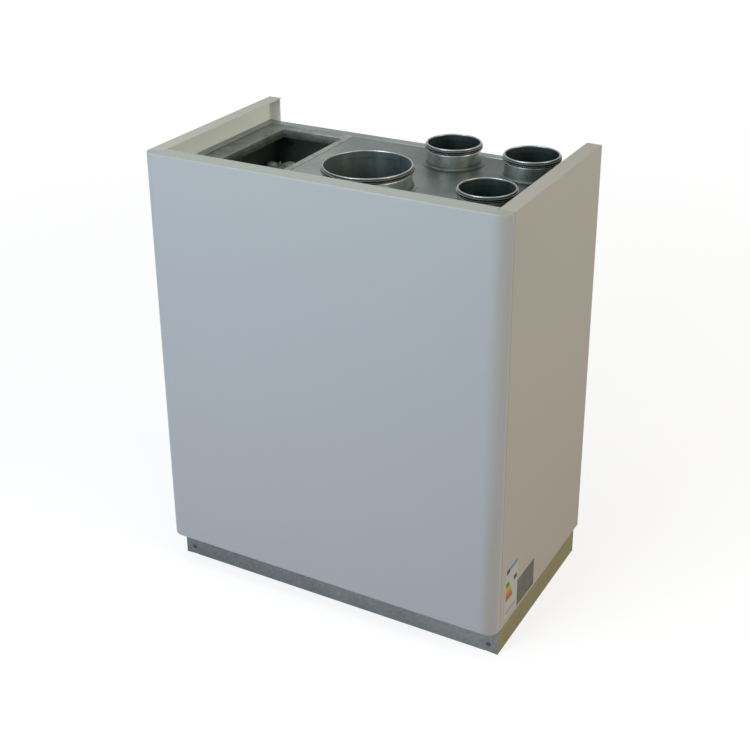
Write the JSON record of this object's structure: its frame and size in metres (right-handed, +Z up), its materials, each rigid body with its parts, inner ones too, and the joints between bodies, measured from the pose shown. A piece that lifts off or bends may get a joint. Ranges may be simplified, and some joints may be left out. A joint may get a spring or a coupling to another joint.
{
  "type": "ventilation unit",
  "caption": "Floor-standing ventilation unit: painted steel cabinet on a galvanised plinth, with duct spigots and an open service compartment on top.",
  "frame": {"origin": "on the floor, under the middle of the cabinet's bounding box", "axes": "+X to the right seen from the front, +Y to the rear, +Z up"},
  "size_m": [0.9, 0.527, 1.1],
  "materials": {
    "plinth_zinc": "galvanised",
    "casing_zinc": "galvanised",
    "roof_zinc": "galvanised",
    "tub_zinc": "galvanised",
    "spigot_zinc": "bright galvanised",
    "side_paint": "satin powder coat",
    "front_paint": "satin powder coat",
    "foam": "moulded foam",
    "roof_seal_rubber": "matt",
    "seal_rubber": "satin",
    "black_plastic": "moulded",
    "terminal_plastic": "moulded"
  },
  "bodies": {
    "root": {"plinth_front": "plinth_zinc", "plinth_rear": "plinth_zinc", "plinth_left": "plinth_zinc", "plinth_right": "plinth_zinc", "side_wall_left": "casing_zinc", "side_wall_right": "casing_zinc", "front_wall": "casing_zinc", "rear_wall": "casing_zinc", "casing_floor": "casing_zinc", "core_block": "foam", "roof_seal_left": "roof_seal_rubber", "roof_seal_right": "roof_seal_rubber", "side_panel_left": "side_paint", "side_panel_right": "side_paint", "front_panel": "front_paint", "front_panel_insulation": "foam", "roof_plate": "roof_zinc", "service_frame": "roof_zinc", "service_tub": "tub_zinc", "cable_gland": "black_plastic", "terminal_box": "terminal_plastic", "terminal_cap": "terminal_plastic", "terminal_socket": "terminal_plastic", "terminal_post_left": "terminal_plastic", "terminal_post_right": "terminal_plastic", "spigot_large": "spigot_zinc", "spigot_rear_middle": "spigot_zinc", "spigot_rear_right": "spigot_zinc", "spigot_front_right": "spigot_zinc", "seal_large": "seal_rubber", "seal_rear_middle": "seal_rubber", "seal_rear_right": "seal_rubber", "seal_front_right": "seal_rubber", "duct_liner_large": "foam", "duct_liner_rear_middle": "foam", "duct_liner_rear_right": "foam", "duct_liner_front_right": "foam"}
  },
  "joints": []
}
